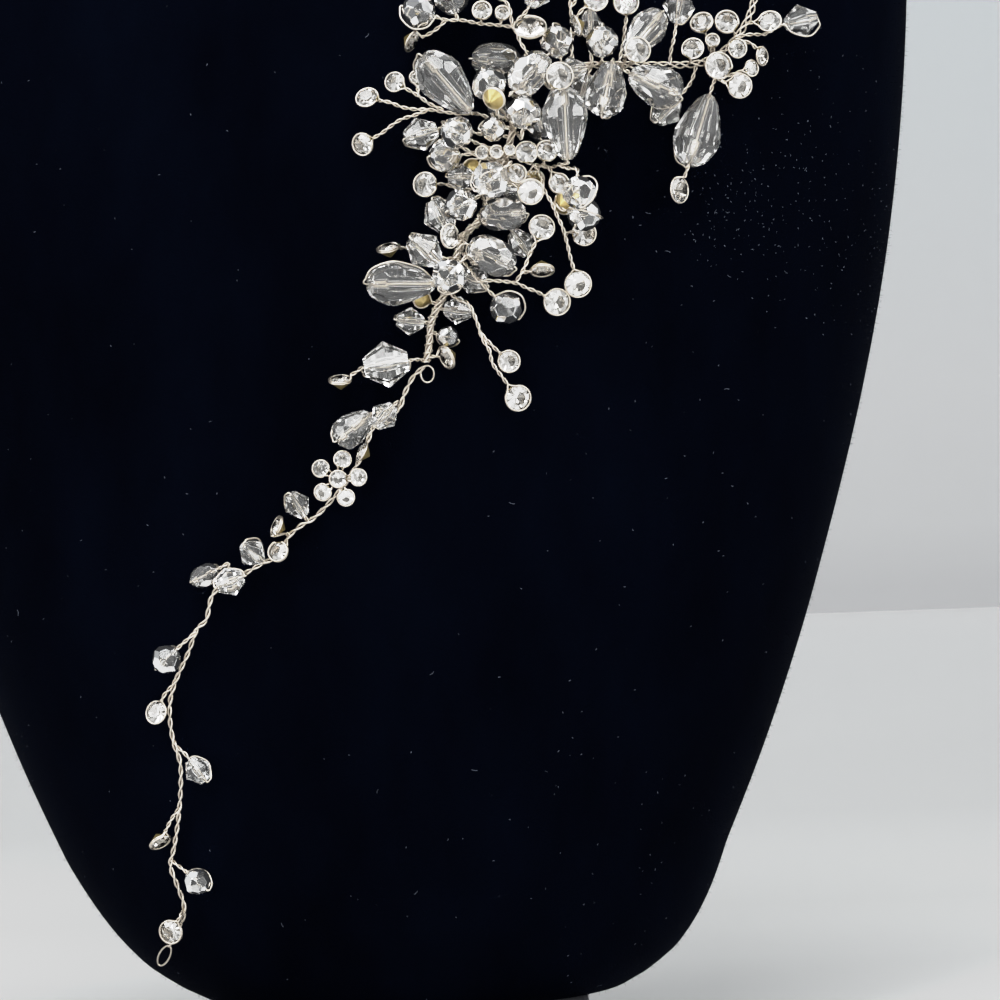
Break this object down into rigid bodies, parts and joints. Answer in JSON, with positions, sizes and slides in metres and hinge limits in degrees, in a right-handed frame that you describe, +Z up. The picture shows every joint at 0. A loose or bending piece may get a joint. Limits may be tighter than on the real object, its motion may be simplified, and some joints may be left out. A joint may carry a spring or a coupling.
{
  "type": "hair vine on a neck bust",
  "caption": "Twisted-wire hair vine with cut glass beads, drops and foil-backed stones, laid over a plain velvet neck bust.",
  "frame": {"origin": "middle of the foot's underside, on the table", "axes": "+Z up, -Y out of the bust's chest towards the viewer, +X to the viewer's right"},
  "size_m": [0.1932, 0.1017, 0.284],
  "materials": {
    "velvet": "short black velvet pile over a padded form, navy sheen at grazing angles",
    "foot": "dark matt board",
    "silver_wire": "silver-plated wire, twisted in pairs, slightly warm",
    "cut_glass": "clear colourless glass with flat polished facets",
    "stone": "pointed clear stone with a mirror foil back",
    "gold_foil": "dull gold lacquered foil on the stones' cones"
  },
  "bodies": {
    "root": {"bust_form": "velvet", "bust_base": "foot", "tail_wire": "silver_wire", "vine_wire": "silver_wire", "teardrop_left": "cut_glass", "teardrop_centre": "cut_glass", "teardrop_low": "cut_glass", "teardrop_right": "cut_glass", "petal_up": "cut_glass", "petal_down": "cut_glass", "petal_side": "cut_glass", "big_bicone": "cut_glass", "tail_bicones": "cut_glass", "tail_round_beads": "cut_glass", "tail_stones": "stone", "tail_foil_stones": "gold_foil", "flower_stones": "stone", "low_bicones": "cut_glass", "low_round_beads": "cut_glass", "low_stones": "stone", "low_foil_stones": "gold_foil", "mid_bicones": "cut_glass", "mid_round_beads": "cut_glass", "mid_stones": "stone", "mid_foil_stones": "gold_foil", "top_bicones": "cut_glass", "top_round_beads": "cut_glass", "top_stones": "stone", "top_foil_stones": "gold_foil", "end_bicones": "cut_glass", "end_round_beads": "cut_glass", "end_stones": "stone"}
  },
  "joints": []
}
